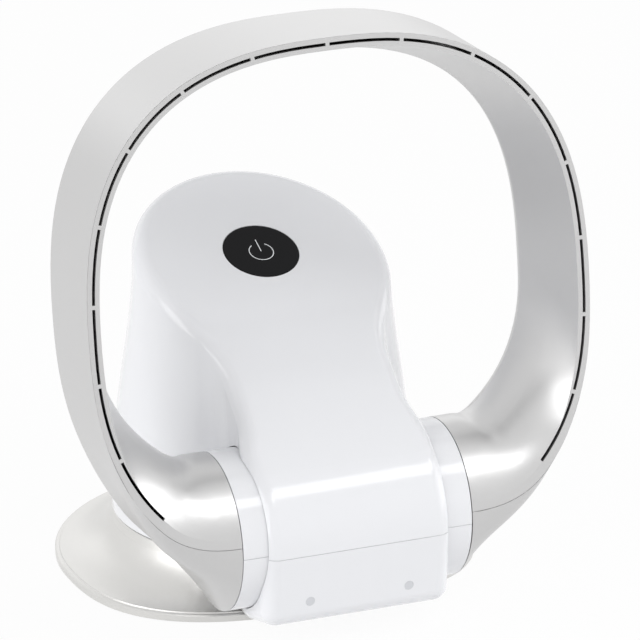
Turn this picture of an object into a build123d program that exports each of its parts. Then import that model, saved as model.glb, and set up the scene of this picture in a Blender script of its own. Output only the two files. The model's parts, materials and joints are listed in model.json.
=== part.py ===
from build123d import *
import math
import os

# Bladeless table fan: a weighted base, a round tower that swivels on it, and a
# rounded-square air ring that tilts on two collars at the foot of the tower's front tongue.
# Millimetres. The origin is the centre of the base on the table, +X to the right as seen from
# the front, -Y towards the front, +Z up.

os.makedirs("parts", exist_ok=True)

# ---- clearances and walls -------------------------------------------------
GAP = 0.3              # between pieces that move past each other
SLIP = 0.05            # radial, shaft in its bearing bore
COVER_WALL = 2.4
RING_WALL = 2.2
DUCT_WALL = 2.4
SCREW_R = 1.4          # shank radius of the small self-tapping screws
SCREW_HEAD_R = 2.8
SCREW_HEAD_T = 1.8
BOSS_R = 4.2

# ---- base -----------------------------------------------------------------
BASE_R = 136.7         # the back half of the base is round
PLAN_FRONT, PLAN_POWER = 111.0, 2.7    # the front half is shorter, a squarer superellipse
PLAN_REACH = 140.4     # the furthest that its front corners come
PLAN_POINTS, FLARE_STEPS = 48, 8
FOOT_H = 1.2           # how far the foot ring stands out of the bottom plate
RIM_TOP = 6.0
FLARE_FOOT_R, FLARE_FOOT_Z = 133.6, 7.3
FLARE_MID_R, FLARE_MID_Z = 114.5, 13.6
FLARE_TOP_R, FLARE_TOP_Z = 100.0, 30.0
NECK_R = 98.8
DECK_Z = 35.6          # top of the neck's flat land
WELL_R = 70.0          # round well that holds the swivel gear
WELL_FLOOR = 21.5
PLATE_T = 2.0
FOOT_OUT_R, FOOT_IN_R = 105.0, 92.0   # the rubber ring that the fan stands on
WEIGHT_R, WEIGHT_BORE_R, WEIGHT_T = 77.0, 34.0, 11.5
BASE_SCREW_RING_R, BASE_SCREW_COUNT = 86.0, 5
JACK_Y, JACK_Z, JACK_R, JACK_BORE_R, JACK_PIN_R = 93.0, 21.0, 5.5, 2.8, 1.0
JACK_HOUSING = (7.0, 9.0, 6.0)         # half width, length inwards, half height
JACK_BARREL, JACK_BORE_START = 13.0, -4.0

# ---- swivel ---------------------------------------------------------------
SPINDLE_R, SPINDLE_BORE_R = 18.0, 13.0
SPINDLE_FOOT = 11.5
SPINDLE_FLANGE_R, SPINDLE_FLANGE_T, SPINDLE_FLAT_Y = 29.0, 2.0, 16.0
SPINDLE_SCREW_R, SPINDLE_SCREW_ANGLES = 24.5, (-150, -90, -30)
HUB_WALL, HUB_LOW, HUB_HIGH = 4.0, 15.0, 24.0
CLIP_T, CLIP_R, CLIP_GROOVE = 2.0, 24.0, 1.5
GEAR_MODULE, GEAR_TEETH, PINION_TEETH = 1.0, 60, 12
GEAR_T, BACKLASH = 7.5, 0.5
PINION_T = 6.0
GLIDE_IN, GLIDE_OUT, GLIDE_T = 79.0, 89.0, 0.6
OSC_MOTOR_R, OSC_MOTOR_T, OSC_SHAFT_OFFSET = 24.0, 15.0, 10.0
OSC_SHAFT_R = 2.5

# ---- tower ----------------------------------------------------------------
TOWER_LOW = 36.4       # bottom edge of the covers, above the neck's land
TOWER_MID_R, TOWER_MID_Z = 92.4, 125.0
TOWER_TOP_R, TOWER_TOP_Z = 84.0, 207.0
KEY_Z = 210.3          # where the slanted top crosses the tower's axis
TOP_TILT = 22.2        # degrees, slanted top down to the front
CREASE_Y = -40.0       # the slanted top turns into the tongue here
CREASE_BLEND = 200.0
TONGUE_HALF = 57.5
TONGUE_BLEND = 30.0
TONGUE_ROOT_Y, TONGUE_WIDEN_Y, HOUSING_WIDE_Y = -30.0, -96.0, -132.0
EDGE_ROUND = 10.0
SPLIT_Y = 45.0         # front and rear cover meet behind this
REAR_TOP_Z = 212.0     # and the rear cover ends below the slanted top's rim
PAN_Z, PAN_T = 36.5, 3.0

# ---- pivot ----------------------------------------------------------------
PIVOT_Y, PIVOT_Z = -113.4, 69.5
HOUSING_Y, HOUSING_Z, HOUSING_R = -108.2, 67.2, 61.0   # the rounded brow, a little behind the pivot
HOUSING_HALF = 64.0
CHIN_Y, CHIN_Z, CHIN_ROUND = -166.0, 20.5, 11.0
BELLY_SLOPE = 0.27     # the housing's underside falls this much towards the back
BELLY_END_Y = -30.0    # well inside the base's relief
COLLAR_R = 51.5
COLLAR_IN, COLLAR_OUT = 56.0, 78.5
SWIVEL_GAP = 1.5       # under the housing, over the base
SCALLOP_GAP = 1.6      # beside the collars, in the tower's flank
LOWER_COVER_Y = -76.0
CUP_DEPTH = 9.0
PLUG_X, PLUG_Z, PLUG_R, PLUG_T = 34.0, 35.0, 3.1, 1.6
REAR_SCREW_X, REAR_SCREW_Z = 84.0, 60.0
PAN_SCREW_R, PAN_SCREW_Y = 92.8, -6.0
PAN_SCREWS = ((PAN_SCREW_R, PAN_SCREW_Y), (-PAN_SCREW_R, PAN_SCREW_Y), (0.0, PAN_SCREW_R))
PAN_FRONT_Y = -55.0
GRILLE_SLOT, GRILLE_COUNT, GRILLE_STEP, GRILLE_LOW, GRILLE_HIGH = 3.0, 13, 5.0, 150.0, 205.0
DUCT_POSTS = ((43.0, -34.0), (-43.0, -34.0), (43.0, 38.0), (-43.0, 38.0))
BOARD_BOX = (-84.0, -34.0, -25.0, 28.0)
BOARD_Z = 44.0
BOARD_POSTS = ((-80.0, -21.0), (-38.0, -21.0), (-80.0, 24.0), (-38.0, 24.0))

# ---- air duct and fan stage -------------------------------------------------
BOWL_R, BOWL_LOW, BOWL_TOP = 64.0, 58.0, 96.0
BOWL_FLANGE_R, BOWL_FLANGE_T = 71.0, 2.5
THROAT_HALF, THROAT_TOP = 50.0, 92.0
CROSS_R = 48.5
MOUNT_RING_R, MOUNT_R, MOUNT_T = 67.0, 3.8, 5.0
SHROUD_R, SHROUD_WALL, SHROUD_TOP = 62.4, 2.4, 150.0
BELL_R = 9.0
HUB_CUP_R, HUB_CUP_WALL, HUB_CUP_T = 32.0, 2.0, 3.0
VANE_COUNT, VANE_T = 9, 1.8
MOTOR_T = 20.0
SHAFT_R = 2.5
BEARING_R, BEARING_T = 8.0, 5.0
STATOR_R, STATOR_BORE_R = 26.0, 14.0
MAGNET_GAP = 0.8
IMPELLER_TIP_R, IMPELLER_T = 57.0, 24.0
BLADE_COUNT, BLADE_T, BLADE_TILT = 9, 1.8, 38.0

# ---- power key ----------------------------------------------------------------
KEY_R, KEY_T, KEY_PROUD = 25.0, 3.0, 0.2
KEY_TRAVEL = 1.0
KEY_STEM_R = 4.0
FRAME_WALL, FRAME_DEPTH, FRAME_FLOOR = 2.4, 8.0, 2.0
KEY_SCREWS = ((18.0, 0.0), (-9.0, 15.6), (-9.0, -15.6))
BOARD_T = 1.6
SWITCH_SIDE, SWITCH_H = 6.0, 3.5
PLUNGER_R, PLUNGER_TAIL = 1.7, 0.6
PLUNGER_PROUD = KEY_TRAVEL + GAP

# ---- air ring ---------------------------------------------------------------
LEAN = 8.8             # degrees, ring leans back
FRONT_OFFSET = 47.8    # front plane ahead of the pivot axis
LOOP_H = 143.5         # height of the loop's centre over the pivot, along the ring
LOOP_HALF, LOOP_UP, LOOP_DOWN = 166.3, 169.2, 162.0
POWER_UP, POWER_DOWN = 2.57, 2.44       # superellipse exponents of the slot line
SLOT_END = -43.0       # degrees on the superellipse, where the slot line ends
LIP_OUT, LIP_IN = 4.2, 4.0
BAND_DEPTH, BAND_RISE = 69.0, 0.1
REAR_IN = 15.0         # the inner wall comes inward by this from front to rear
SEAM_DEPTH = 58.0
END_X, END_H = 79.1, 7.5
END_HANDLES = (18.0, 22.0)
MORPH_FLAT = 6.0       # the inner side's first stretch at the collar stays round
OUTER_LENGTH = 120.0   # the outer side leaves the round end over a shorter stretch
BAND_POWERS = (3.8, 4.7, 4.4, 2.5)   # how quickly, from the rear corner towards the lip
ROUND_ANGLES = (0.0, -6.5, -100.0, -215.0)   # lip out, lip in, seam, rear corner on the round end
PART_DEPTH = 0.3       # the outer band starts behind the lip
SLOT_SUBSTEPS = 5
MORPH_LENGTH = 150.0   # along the ring, from the round end to the full ring section
SLOT_WIDTH, SLOT_COUNT, BRIDGE = 2.0, 16, 2.6
PART_LINE = 0.3
SPIGOT_R, SPIGOT_WALL, SPIGOT_IN = 40.0, 3.0, 66.0
FLANGE_T, FLANGE_TAPER = 2.2, 7.0
WASHER_R, WASHER_T = 48.0, 2.0

UP = (Align.CENTER, Align.CENTER, Align.MIN)


# ---- small helpers ------------------------------------------------------------
def disc(radius, low, high, x=0.0, y=0.0):
    """An upright cylinder between two heights."""
    return Pos(x, y, low) * Cylinder(radius, high - low, align=UP)


def tube(outer, inner, low, high, x=0.0, y=0.0):
    """An upright tube between two heights."""
    return disc(outer, low, high, x, y) - disc(inner, low - 1, high + 1, x, y)


def block(x0, x1, y0, y1, z0, z1):
    """A box between two corners."""
    centre = Pos((x0 + x1) / 2, (y0 + y1) / 2, (z0 + z1) / 2)
    return centre * Box(x1 - x0, y1 - y0, z1 - z0)


def cross(radius, x0, x1, y=PIVOT_Y, z=PIVOT_Z):
    """A cylinder along X, on the pivot axis unless placed elsewhere."""
    return Pos((x0 + x1) / 2, y, z) * Rot(0, 90, 0) * Cylinder(radius, x1 - x0)


def spun(*edges):
    """A solid turned about Z from a closed outline in radius and height."""
    outline = make_face(Curve() + list(edges))
    return revolve(Plane.XZ * outline, Axis.Z)


def around(count, radius, shape, start=0.0):
    """Copies of a shape, evenly round the Z axis."""
    turned = []
    for index in range(count):
        angle = start + 360.0 * index / count
        turned.append(Rot(0, 0, angle) * Pos(radius, 0, 0) * shape)
    return turned


def both_sides(shape):
    """A shape on the right and its mirror image on the left."""
    return [shape, mirror(shape, Plane.YZ)]


def joined(shapes):
    """Several solids as one group."""
    solids = []
    for shape in shapes:
        solids += shape.solids()
    return Compound(children=solids)


def down_screw(x, y, seat_z, length):
    """A pan-head screw driven downwards, its head above the seat."""
    return disc(SCREW_HEAD_R, seat_z, seat_z + SCREW_HEAD_T, x, y) + disc(
        SCREW_R, seat_z - length, seat_z, x, y)


# ---- base ---------------------------------------------------------------------
def flare(shrink):
    """The base's outer line from rim to neck, moved inwards by a wall."""
    drop = shrink * 0.95
    foot = (FLARE_FOOT_R - shrink * 0.3, FLARE_FOOT_Z - drop)
    middle = (FLARE_MID_R - shrink * 0.6, FLARE_MID_Z - shrink * 0.8)
    top = (FLARE_TOP_R - shrink, FLARE_TOP_Z - shrink * 0.35)
    return foot, middle, top


def plan_radius(angle):
    """How far the rim reaches from the axis in one direction."""
    if math.sin(angle) >= 0:
        return BASE_R
    across, along = abs(math.cos(angle)) / BASE_R, abs(math.sin(angle)) / PLAN_FRONT
    return (across ** PLAN_POWER + along ** PLAN_POWER) ** (-1 / PLAN_POWER)


def base_line(radius, z, shrink):
    """A closed line round the base: round at the neck, of the plan's form at the rim."""
    share = max(0.0, (radius + shrink - NECK_R) / (BASE_R - NECK_R))
    points = []
    for index in range(PLAN_POINTS):
        angle = 2 * math.pi * index / PLAN_POINTS
        r = radius + (plan_radius(angle) - BASE_R) * share
        points.append((r * math.cos(angle), r * math.sin(angle), z))
    return Wire([Edge.make_spline(points, periodic=True)])


def base_loft(profile, shrink, ruled):
    """A solid through the closed lines at several radii and heights."""
    return Solid.make_loft([base_line(r, z, shrink) for r, z in profile], ruled)


def base_form(shrink):
    """The base's outer form, or the space inside its wall when shrunk."""
    foot, middle, top = flare(shrink)
    arc = ThreePointArc(top, middle, foot)
    bend = [arc @ (step / FLARE_STEPS) for step in range(FLARE_STEPS + 1)]
    if shrink:
        lip = BASE_R - shrink
        rim = [foot, (lip, FOOT_H + PLATE_T + GAP), (lip, FOOT_H - 1)]
        neck = [top, (NECK_R - shrink, DECK_Z - shrink)]
    else:
        rim = [foot, (foot[0] + 0.5, RIM_TOP + 0.5), (BASE_R - 0.7, RIM_TOP), (BASE_R, RIM_TOP - 0.7),
               (BASE_R, FOOT_H + 0.6), (BASE_R - 0.6, FOOT_H)]
        neck = [top, (NECK_R, DECK_Z - 0.5), (NECK_R - 0.5, DECK_Z)]
    form = base_loft([(point.X, point.Y) for point in bend], shrink, False)
    return form + base_loft(rim, shrink, True) + base_loft(neck, shrink, True)


def base_cover():
    """The flared base with its neck, gear well and spindle hub."""
    bore = SPINDLE_R + SLIP
    shell = base_form(0) - base_form(COVER_WALL)
    shell += disc(WELL_R + COVER_WALL, WELL_FLOOR - COVER_WALL, DECK_Z - 1)
    shell -= disc(WELL_R, WELL_FLOOR, DECK_Z + 1)
    shell += disc(bore + HUB_WALL, HUB_LOW, HUB_HIGH)
    shell -= disc(bore, HUB_LOW - 1, HUB_HIGH + 1)
    plate_top = FOOT_H + PLATE_T
    boss = disc(BOSS_R, plate_top, DECK_Z - COVER_WALL / 2)
    shell += around(BASE_SCREW_COUNT, BASE_SCREW_RING_R, boss, 36)
    hole = disc(SCREW_R, plate_top - 1, plate_top + 12)
    shell -= around(BASE_SCREW_COUNT, BASE_SCREW_RING_R, hole, 36)
    post = disc(BOSS_R, plate_top + WEIGHT_T, WELL_FLOOR - COVER_WALL / 2)
    shell += around(3, (WEIGHT_R + WEIGHT_BORE_R) / 2, post, 90)
    return shell - jack_body(GAP)


def jack_body(grow=0.0):
    """The socket's barrel, along Y at the rear of the neck."""
    return Pos(0, JACK_Y, JACK_Z) * Rot(-90, 0, 0) * Cylinder(JACK_R + grow, JACK_BARREL, align=UP)


def dc_jack():
    """The round low-voltage inlet at the back of the neck, with its bore."""
    half_w, inward, half_h = JACK_HOUSING
    housing = block(-half_w, half_w, JACK_Y - inward, JACK_Y + 1, JACK_Z - half_h, JACK_Z + half_h)
    start = Pos(0, JACK_Y + JACK_BORE_START, JACK_Z) * Rot(-90, 0, 0)
    bore = start * Cylinder(JACK_BORE_R, 2 * JACK_BARREL, align=UP)
    pin = start * Cylinder(JACK_PIN_R, JACK_BARREL, align=UP)
    return housing + jack_body() - bore + pin


def base_bottom_plate():
    """The flat plate that closes the base."""
    inset = COVER_WALL + 0.2
    plate = Solid.extrude(Face(base_line(BASE_R - inset, FOOT_H, inset)), Vector(0, 0, PLATE_T))
    plate -= tube(FOOT_OUT_R + 0.1, FOOT_IN_R - 0.1, 0, FOOT_H + PLATE_T / 2)
    head = disc(SCREW_HEAD_R + 0.2, FOOT_H - 1, FOOT_H + 1.0)
    shank = disc(SCREW_R + 0.2, FOOT_H - 1, FOOT_H + PLATE_T + 1)
    plate -= around(BASE_SCREW_COUNT, BASE_SCREW_RING_R, head, 36)
    plate -= around(BASE_SCREW_COUNT, BASE_SCREW_RING_R, shank, 36)
    return plate


def foot_ring():
    """The soft ring in the bottom plate's groove, that the fan stands on."""
    ring = tube(FOOT_OUT_R, FOOT_IN_R, 0, FOOT_H + PLATE_T / 2)
    return chamfer(ring.edges().group_by(Axis.Z)[0], 0.4)


def base_screws():
    """Screws up through the bottom plate into the cover's bosses."""
    head = disc(SCREW_HEAD_R, FOOT_H + 0.1, FOOT_H + 1.0)
    shank = disc(SCREW_R, FOOT_H + 1.0, FOOT_H + PLATE_T + 9)
    return joined(around(BASE_SCREW_COUNT, BASE_SCREW_RING_R, head + shank, 36))


def base_weight():
    """The steel ring that keeps the fan from tipping."""
    low = FOOT_H + PLATE_T
    return tube(WEIGHT_R, WEIGHT_BORE_R, low, low + WEIGHT_T)


# ---- swivel ---------------------------------------------------------------------
def involute(angle):
    return math.tan(angle) - angle


def gear(teeth, thickness, bore_r, turn):
    """A spur gear with its first tooth turned to an angle, on the XY plane."""
    pitch_r = teeth * GEAR_MODULE / 2
    root_r = pitch_r - 1.15 * GEAR_MODULE
    tip_r = pitch_r + 0.8 * GEAR_MODULE
    pressure = math.radians(20)
    base_r = pitch_r * math.cos(pressure)
    half = math.pi / (2 * teeth) - BACKLASH / (4 * pitch_r)
    flank = []
    for r in (root_r, pitch_r, tip_r):
        at = math.acos(min(1.0, base_r / r))
        flank.append((r, half + involute(pressure) - involute(at)))
    points = []
    for tooth in range(teeth):
        middle = math.radians(turn) + 2 * math.pi * tooth / teeth
        for r, spread in flank:
            points.append((r * math.cos(middle - spread), r * math.sin(middle - spread)))
        for r, spread in reversed(flank):
            points.append((r * math.cos(middle + spread), r * math.sin(middle + spread)))
    outline = Polygon(*points, align=None)
    return extrude(outline - Circle(bore_r), thickness)


SHAFT_DISTANCE = (GEAR_TEETH + PINION_TEETH) * GEAR_MODULE / 2 + 0.1


def base_gear():
    """The fixed gear round the hub, that the pinion walks around."""
    bore = SPINDLE_R + SLIP + HUB_WALL + 0.15
    return Pos(0, 0, WELL_FLOOR) * gear(GEAR_TEETH, GEAR_T, bore, 90 + 180 / GEAR_TEETH)


def oscillation_pinion():
    """The pinion on the swivel motor's shaft, its tooth in the gear's rear gap."""
    low = WELL_FLOOR + GEAR_T - PINION_T
    flat = Pos(0, SHAFT_DISTANCE, low) * gear(PINION_TEETH, PINION_T, OSC_SHAFT_R - 0.5, -90)
    shaft = disc(OSC_SHAFT_R, low + PINION_T, PAN_Z + PAN_T + 2, 0, SHAFT_DISTANCE)
    core = disc(OSC_SHAFT_R - 0.5, low, low + PINION_T, 0, SHAFT_DISTANCE)
    return flat + shaft + core


def oscillation_motor():
    """The flat geared motor that swivels the tower."""
    low = PAN_Z + PAN_T
    y = SHAFT_DISTANCE + OSC_SHAFT_OFFSET
    can = disc(OSC_MOTOR_R, low, low + OSC_MOTOR_T, 0, y)
    ears = block(-30, 30, y - 4, y + 4, low, low + 1.2)
    screw_holes = [disc(SCREW_R + 0.2, low - 1, low + 3, side * 27, y) for side in (-1, 1)]
    shaft_hole = disc(OSC_SHAFT_R + SLIP, low - 1, low + 3, 0, SHAFT_DISTANCE)
    return can + ears - screw_holes - shaft_hole


def motor_ear_screws():
    """The two screws that hold the swivel motor to the pan."""
    seat = PAN_Z + PAN_T + 1.2
    y = SHAFT_DISTANCE + OSC_SHAFT_OFFSET
    return joined([down_screw(side * 27, y, seat, 4.0) for side in (-1, 1)])


def glide_ring():
    """The slippery ring that the tower turns on."""
    return tube(GLIDE_OUT, GLIDE_IN, DECK_Z, DECK_Z + GLIDE_T)


def swivel_spindle():
    """The hollow pin under the tower, turning in the base's hub."""
    top = PAN_Z + PAN_T
    flange = disc(SPINDLE_FLANGE_R, top, top + SPINDLE_FLANGE_T)
    flange -= block(-40, 40, SPINDLE_FLAT_Y, 40, top - 1, top + 5)
    body = disc(SPINDLE_R, SPINDLE_FOOT, top) + flange
    body -= disc(SPINDLE_BORE_R, SPINDLE_FOOT - 1, top + 5)
    groove_top = HUB_LOW - GAP
    body -= tube(SPINDLE_R + 1, SPINDLE_R - CLIP_GROOVE, groove_top - CLIP_T, groove_top)
    hole = disc(SCREW_R + 0.2, top - 1, top + 5)
    for angle in SPINDLE_SCREW_ANGLES:
        body -= Rot(0, 0, angle) * Pos(SPINDLE_SCREW_R, 0, 0) * hole
    return body


def spindle_screws():
    """Screws that hold the spindle's flange to the pan."""
    screw = down_screw(0, 0, PAN_Z + PAN_T + SPINDLE_FLANGE_T, PAN_T + SPINDLE_FLANGE_T - 0.5)
    places = [Rot(0, 0, angle) * Pos(SPINDLE_SCREW_R, 0, 0) for angle in SPINDLE_SCREW_ANGLES]
    return joined([place * screw for place in places])


def retaining_clip():
    """The open clip in the spindle's groove, under the hub."""
    top = HUB_LOW - GAP
    ring = tube(CLIP_R, SPINDLE_R - CLIP_GROOVE, top - CLIP_T, top)
    return ring - block(-5, 5, 0, CLIP_R + 1, top - CLIP_T - 1, top + 1)


# ---- tower covers ---------------------------------------------------------------
def tower_column(shrink):
    """The round body of the tower, turned about Z."""
    low = TOWER_LOW - (PAN_T + 3 if shrink else 0)
    side_low = (NECK_R - shrink, TOWER_LOW)
    side_top = (TOWER_TOP_R - shrink, TOWER_TOP_Z)
    middle = (TOWER_MID_R - shrink, TOWER_MID_Z)
    curve = Spline(side_low, middle, side_top, tangents=((0, 1), (0, 1)))
    outline = [Polyline((0, low), (NECK_R - shrink, low), side_low) if shrink else
               Line((0, low), side_low),
               curve,
               Polyline(side_top, (TOWER_TOP_R - shrink, 290), (0, 290), (0, low))]
    return spun(*outline)


def tongue_plan(shrink):
    """The tongue and pivot housing, seen from above, as an upright prism."""
    half, wide, front = TONGUE_HALF - shrink, HOUSING_HALF - shrink, HOUSING_Y - HOUSING_R - 8
    root, start, end = TONGUE_ROOT_Y, TONGUE_WIDEN_Y, HOUSING_WIDE_Y
    first, second = start + (end - start) * 0.44, start + (end - start) * 0.5
    right = [Line((half, root), (half, start)),
             Bezier((half, start), (half, first), (wide, second), (wide, end)),
             Line((wide, end), (wide, front))]
    left = [Line((-wide, front), (-wide, end)),
            Bezier((-wide, end), (-wide, second), (-half, first), (-half, start)),
            Line((-half, start), (-half, root))]
    outline = right + [Line((wide, front), (-wide, front))] + left + [Line((-half, root), (half, root))]
    return Pos(0, 0, -40) * extrude(make_face(Curve() + outline), 330)


def touch_angle(point, turn):
    """Direction from the housing's centre to where a line from a point touches its circle."""
    across, up = point[0] - HOUSING_Y, point[1] - HOUSING_Z
    return math.atan2(up, across) + turn * math.acos(HOUSING_R / math.hypot(across, up))


def side_outline(shrink):
    """The tower seen from the side, as a face on the YZ plane."""
    slope = math.tan(math.radians(TOP_TILT))
    rear_y = NECK_R + 30
    crease = (CREASE_Y, KEY_Z + slope * CREASE_Y)
    chin = (CHIN_Y, CHIN_Z)
    upper, lower = touch_angle(crease, 1), touch_angle(chin, -1) + 2 * math.pi
    half = (lower - upper) / 2
    reach = HOUSING_R / math.cos(half)
    brow = (HOUSING_Y + reach * math.cos(upper + half), HOUSING_Z + reach * math.sin(upper + half))
    low = CHIN_Z - BELLY_SLOPE * (BELLY_END_Y - CHIN_Y)
    corners = [(rear_y, low), (rear_y, KEY_Z + slope * rear_y), crease, brow, chin, (BELLY_END_Y, low)]
    face = make_face(Polyline(*corners, close=True))
    if shrink:
        face = offset(face, -shrink, kind=Kind.INTERSECTION)
    for corner, radius in ((crease, CREASE_BLEND), (brow, HOUSING_R), (chin, CHIN_ROUND)):
        nearest = min(face.vertices(), key=lambda v: math.hypot(v.X - corner[0], v.Y - corner[1]))
        face = fillet(nearest, radius - shrink)
    return Plane.YZ * face


def over_base(gap, inner_r=0.0):
    """All that lies under the swivelling tower: the widest base with a gap over it, turned about Z."""
    widen = (PLAN_REACH - NECK_R) / (BASE_R - NECK_R)
    foot, middle, top = [(NECK_R + (r - NECK_R) * widen, z) for r, z in flare(0)]
    foot_up = (foot[0] + gap * 0.4, foot[1] + gap)
    middle_up = (middle[0] + gap * 0.7, middle[1] + gap * 0.8)
    top_up = (top[0] + gap, top[1] + gap * 0.3)
    outline = [Polyline((inner_r, -60), (inner_r, TOWER_LOW + gap - SWIVEL_GAP),
                        (NECK_R + gap - 0.8, TOWER_LOW + gap - SWIVEL_GAP), top_up),
               ThreePointArc(top_up, middle_up, foot_up),
               Polyline(foot_up, (BASE_R + 60, foot_up[1]), (BASE_R + 60, -60), (inner_r, -60))]
    return spun(*outline)


def rim_edges(body):
    """The edges round the tower's top, the tongue and the housing's sides."""
    chosen = []
    for edge in body.edges():
        size = edge.bounding_box()
        wide = size.size.X > HOUSING_HALF and size.size.Y < 1
        upright = size.size.Z > 100 and size.size.X < 25 and size.size.Y < 25
        level = size.size.Z < 0.01
        beside = size.min.X > HOUSING_HALF - 8 or size.max.X < 8 - HOUSING_HALF
        lowest = size.max.Z < HOUSING_Z and not beside
        if not (wide or upright or level or lowest) and abs(size.min.Z - TOWER_LOW) > 0.1:
            chosen.append(edge)
    return chosen


def tower_form(shrink):
    """The tower's outer form, or the space inside its walls when shrunk."""
    reach = 2 * (HOUSING_HALF + 60)
    side = Pos(-reach / 2, 0, 0) * extrude(side_outline(shrink), reach)
    form = tower_column(shrink) + tongue_plan(shrink)
    necks = [edge for edge in form.edges() if edge.length > 100 and edge.bounding_box().size.Z > 100
             and edge.center().Y > -90 and abs(edge.center().X) < TONGUE_HALF + 1]
    form = fillet(necks, TONGUE_BLEND + shrink) & side
    form = fillet(rim_edges(form), EDGE_ROUND - shrink)
    form -= over_base(SWIVEL_GAP + shrink, NECK_R - shrink if shrink else 0.0)
    for low, high in ((HOUSING_HALF - shrink, 120), (-120, -HOUSING_HALF + shrink)):
        form -= cross(COLLAR_R + SCALLOP_GAP + shrink, low, high)
    return form


def front_y(z):
    """The housing's front face at a height between the chin and the pivot."""
    angle = touch_angle((CHIN_Y, CHIN_Z), -1)
    return CHIN_Y - (z - CHIN_Z) * math.tan(angle)


def forward(radius, y0, y1, x, z):
    """A cylinder along Y between two depths."""
    return Pos(x, (y0 + y1) / 2, z) * Rot(90, 0, 0) * Cylinder(radius, y1 - y0)


KEY_PLANE = Plane(origin=(0, 0, KEY_Z), x_dir=(1, 0, 0),
                  z_dir=(0, -math.sin(math.radians(TOP_TILT)), math.cos(math.radians(TOP_TILT))))
REAR_ZONE = block(-130, 130, SPLIT_Y, 200, 0, REAR_TOP_Z)
LOWER_ZONE = block(-80, 80, -200, LOWER_COVER_Y, 0, HOUSING_Z)


def tower_shell():
    """The covers as one wall, with the holes for the collars."""
    shell = tower_form(0) - tower_form(COVER_WALL)
    hole_r = COLLAR_R + 0.5
    shell -= cross(hole_r, COLLAR_IN - 2, HOUSING_HALF + 1)
    shell -= cross(hole_r, -HOUSING_HALF - 1, 2 - COLLAR_IN)
    return shell


def front_cover(shell):
    """The column's front, the slanted top and the tongue, down to the pivot's seam."""
    cover = shell - REAR_ZONE - LOWER_ZONE
    cover -= KEY_PLANE * (Pos(0, 0, -COVER_WALL * 2) * Cylinder(KEY_R + GAP, COVER_WALL * 4, align=UP))
    inside = tower_form(COVER_WALL * 0.6)
    for side in (-1, 1):
        rear_boss = forward(BOSS_R, SPLIT_Y - 12, SPLIT_Y - PART_LINE, side * REAR_SCREW_X, REAR_SCREW_Z)
        cover += rear_boss & inside
        cover -= forward(SCREW_R, SPLIT_Y - 10, SPLIT_Y + 1, side * REAR_SCREW_X, REAR_SCREW_Z)
        pan_boss = disc(BOSS_R, PAN_Z + PAN_T, PAN_Z + PAN_T + 12, side * PAN_SCREW_R, PAN_SCREW_Y)
        cover += pan_boss & inside
        cover -= disc(SCREW_R, PAN_Z, PAN_Z + PAN_T + 10, side * PAN_SCREW_R, PAN_SCREW_Y)
    return cover


def rear_cover(shell):
    """The back of the column, with the air intake's slots."""
    cover = shell & block(-130, 130, SPLIT_Y + PART_LINE, 200, 0, REAR_TOP_Z - PART_LINE)
    slot = block(0, 130, -GRILLE_SLOT / 2, GRILLE_SLOT / 2, GRILLE_LOW, GRILLE_HIGH)
    for index in range(GRILLE_COUNT):
        angle = 90 + (index - (GRILLE_COUNT - 1) / 2) * GRILLE_STEP
        cover -= Rot(0, 0, angle) * Pos(40, 0, 0) * slot
    inside = tower_form(COVER_WALL * 0.6)
    low_y = SPLIT_Y + PART_LINE
    for side in (-1, 1):
        cup = forward(BOSS_R, low_y, low_y + 12, side * REAR_SCREW_X, REAR_SCREW_Z)
        cover += cup & inside
        cover -= forward(SCREW_R + 0.2, low_y - 1, low_y + 20, side * REAR_SCREW_X, REAR_SCREW_Z)
        cover -= forward(SCREW_HEAD_R + 0.3, low_y + 2.5, low_y + 30, side * REAR_SCREW_X, REAR_SCREW_Z)
    pan_boss = disc(BOSS_R, PAN_Z + PAN_T, PAN_Z + PAN_T + 12, 0, PAN_SCREW_R)
    cover += pan_boss & inside
    cover -= disc(SCREW_R, PAN_Z, PAN_Z + PAN_T + 10, 0, PAN_SCREW_R)
    return cover


def rear_cover_screws():
    """Screws through the rear cover's cups into the front cover."""
    screws = []
    seat = SPLIT_Y + PART_LINE + 2.5
    for side in (-1, 1):
        head = forward(SCREW_HEAD_R, seat, seat + SCREW_HEAD_T, side * REAR_SCREW_X, REAR_SCREW_Z)
        shank = forward(SCREW_R, seat - 10, seat, side * REAR_SCREW_X, REAR_SCREW_Z)
        screws.append(head + shank)
    return joined(screws)


def pivot_lower_cover(shell):
    """The underside and chin of the pivot housing, with the two screw cups."""
    cover = shell & block(-80, 80, -200, LOWER_COVER_Y - PART_LINE, 0, HOUSING_Z - PART_LINE)
    front = front_y(PLUG_Z)
    for x in (-PLUG_X, PLUG_X):
        cover += forward(PLUG_R + 1.8, front + COVER_WALL / 2, front + CUP_DEPTH, x, PLUG_Z)
        cover -= forward(PLUG_R + SLIP, front - 3, front + CUP_DEPTH - 2, x, PLUG_Z)
        cover -= forward(SCREW_R + 0.2, front, front + CUP_DEPTH + 1, x, PLUG_Z)
    return cover


def screw_plugs():
    """The two round plugs that hide the housing's screws."""
    front = front_y(PLUG_Z)
    return joined([forward(PLUG_R, front + 0.1, front + 0.1 + PLUG_T, x, PLUG_Z)
                   for x in (-PLUG_X, PLUG_X)])


def lower_cover_screws():
    """Screws from the cups into the duct's bosses."""
    seat = front_y(PLUG_Z) + CUP_DEPTH - 2
    screws = []
    for x in (-PLUG_X, PLUG_X):
        head = forward(SCREW_HEAD_R, seat - SCREW_HEAD_T, seat, x, PLUG_Z)
        screws.append(head + forward(SCREW_R, seat, seat + 12, x, PLUG_Z))
    return joined(screws)


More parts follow.
